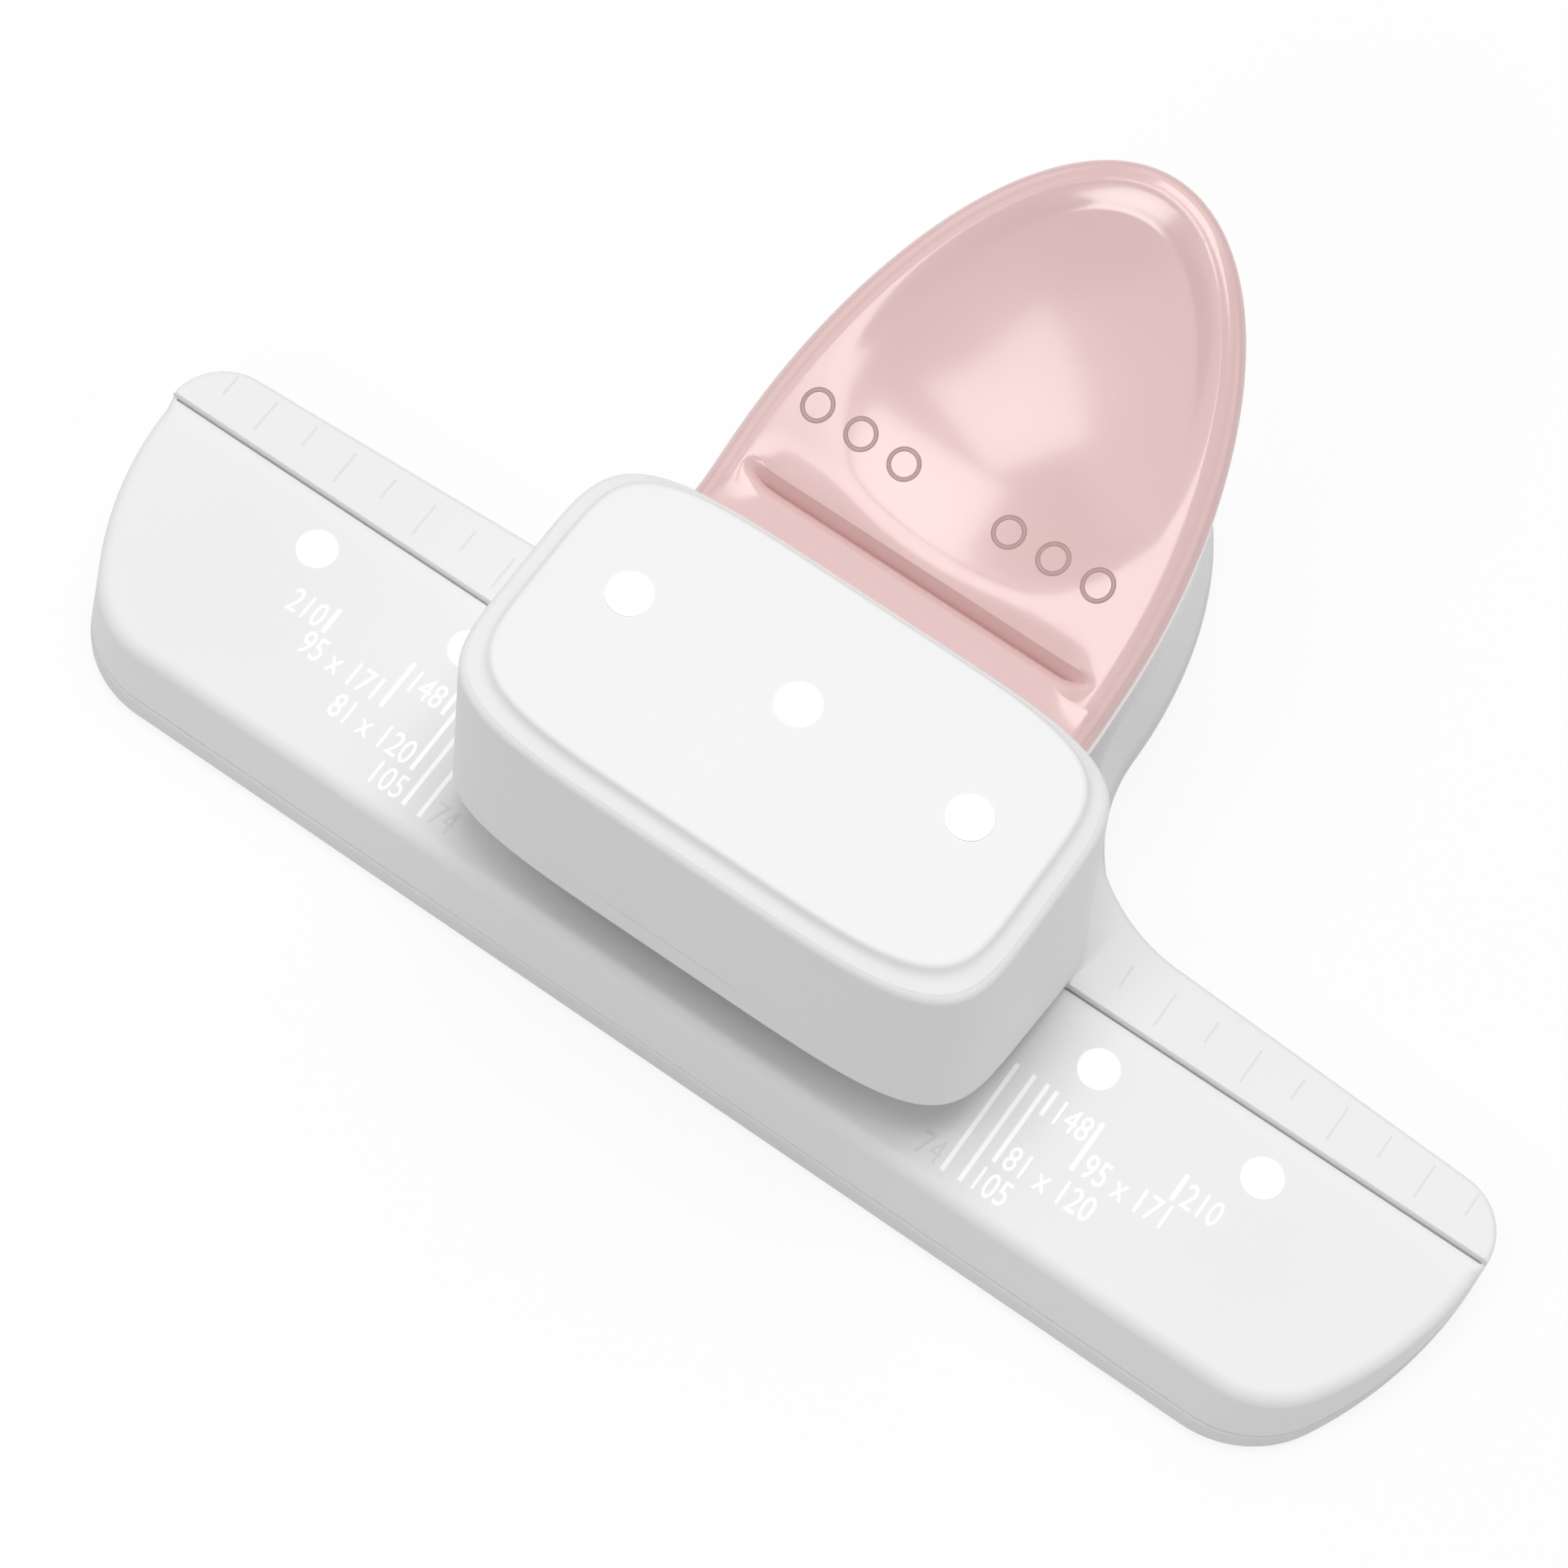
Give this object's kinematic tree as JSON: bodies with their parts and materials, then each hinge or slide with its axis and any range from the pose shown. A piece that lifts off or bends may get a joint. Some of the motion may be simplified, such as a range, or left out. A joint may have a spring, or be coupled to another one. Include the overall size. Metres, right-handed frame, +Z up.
{
  "type": "three hole punch",
  "caption": "Desk punch for ring-planner pages: long low base with ruler strip and fence, rounded punching head, spoon-shaped press lever, sprung cutting pins and hinged chip tray.",
  "frame": {"origin": "on the table, under the middle of the whole object's box", "axes": "+X along the base to the right as seen from the paper side, +Y from the front edge to the lever, +Z up from the table"},
  "size_m": [0.1586, 0.091, 0.0587],
  "materials": {
    "shell_white": "satin moulded plastic, off-white",
    "lever_pink": "glossy moulded plastic, pale pink",
    "tray_white": "fine matt moulded plastic, off-white",
    "bright_steel": "bright nickel-plated steel",
    "spring_steel": "drawn spring steel",
    "foot_grey": "soft matt rubber"
  },
  "bodies": {
    "body": {"base_shell": "shell_white", "base_cover": "shell_white", "rubber_feet": "foot_grey", "base_screws": "bright_steel", "tray_hinge_pins": "bright_steel", "die_plate": "bright_steel", "punch_frame": "bright_steel", "frame_screws": "bright_steel", "head_cover": "shell_white", "head_lid": "shell_white", "head_screws": "bright_steel", "pivot_pin": "bright_steel", "pivot_clips": "spring_steel", "return_spring_left": "spring_steel", "return_spring_centre": "spring_steel", "return_spring_right": "spring_steel"},
    "lever": {"lever_arm": "bright_steel", "lever_cover": "lever_pink", "press_bar": "bright_steel", "lever_screws": "bright_steel"},
    "pin_left": {"punch_pin_left": "bright_steel", "pin_clip_left": "spring_steel"},
    "pin_centre": {"punch_pin_centre": "bright_steel", "pin_clip_centre": "spring_steel"},
    "pin_right": {"punch_pin_right": "bright_steel", "pin_clip_right": "spring_steel"},
    "tray": {"chip_tray": "tray_white"}
  },
  "joints": [
    {"name": "lever_press", "type": "hinge", "parent": "body", "child": "lever", "pos_m": [0, -0.03395, 0.03165], "axis": [-1, 0, 0], "range_deg": [0, 18.58], "stiffness_Nm_per_rad": 0.29, "springref_deg": -20.63},
    {"name": "pin_left_slide", "type": "slide", "parent": "body", "child": "pin_left", "axis": [0, 0, -1], "range_m": [0, 0.0036], "deforming": ["return_spring_left"]},
    {"name": "pin_centre_slide", "type": "slide", "parent": "body", "child": "pin_centre", "axis": [0, 0, -1], "range_m": [0, 0.0036], "deforming": ["return_spring_centre"]},
    {"name": "pin_right_slide", "type": "slide", "parent": "body", "child": "pin_right", "axis": [0, 0, -1], "range_m": [0, 0.0036], "deforming": ["return_spring_right"]},
    {"name": "tray_hinge", "type": "hinge", "parent": "body", "child": "tray", "pos_m": [0, -0.01745, 0.0026], "axis": [1, 0, 0], "range_deg": [0, 80]}
  ],
  "couplings": [
    {"joint": "pin_left_slide", "follows": "lever_press", "m_per_rad": 0.011098},
    {"joint": "pin_centre_slide", "follows": "lever_press", "m_per_rad": 0.011098},
    {"joint": "pin_right_slide", "follows": "lever_press", "m_per_rad": 0.011098}
  ]
}
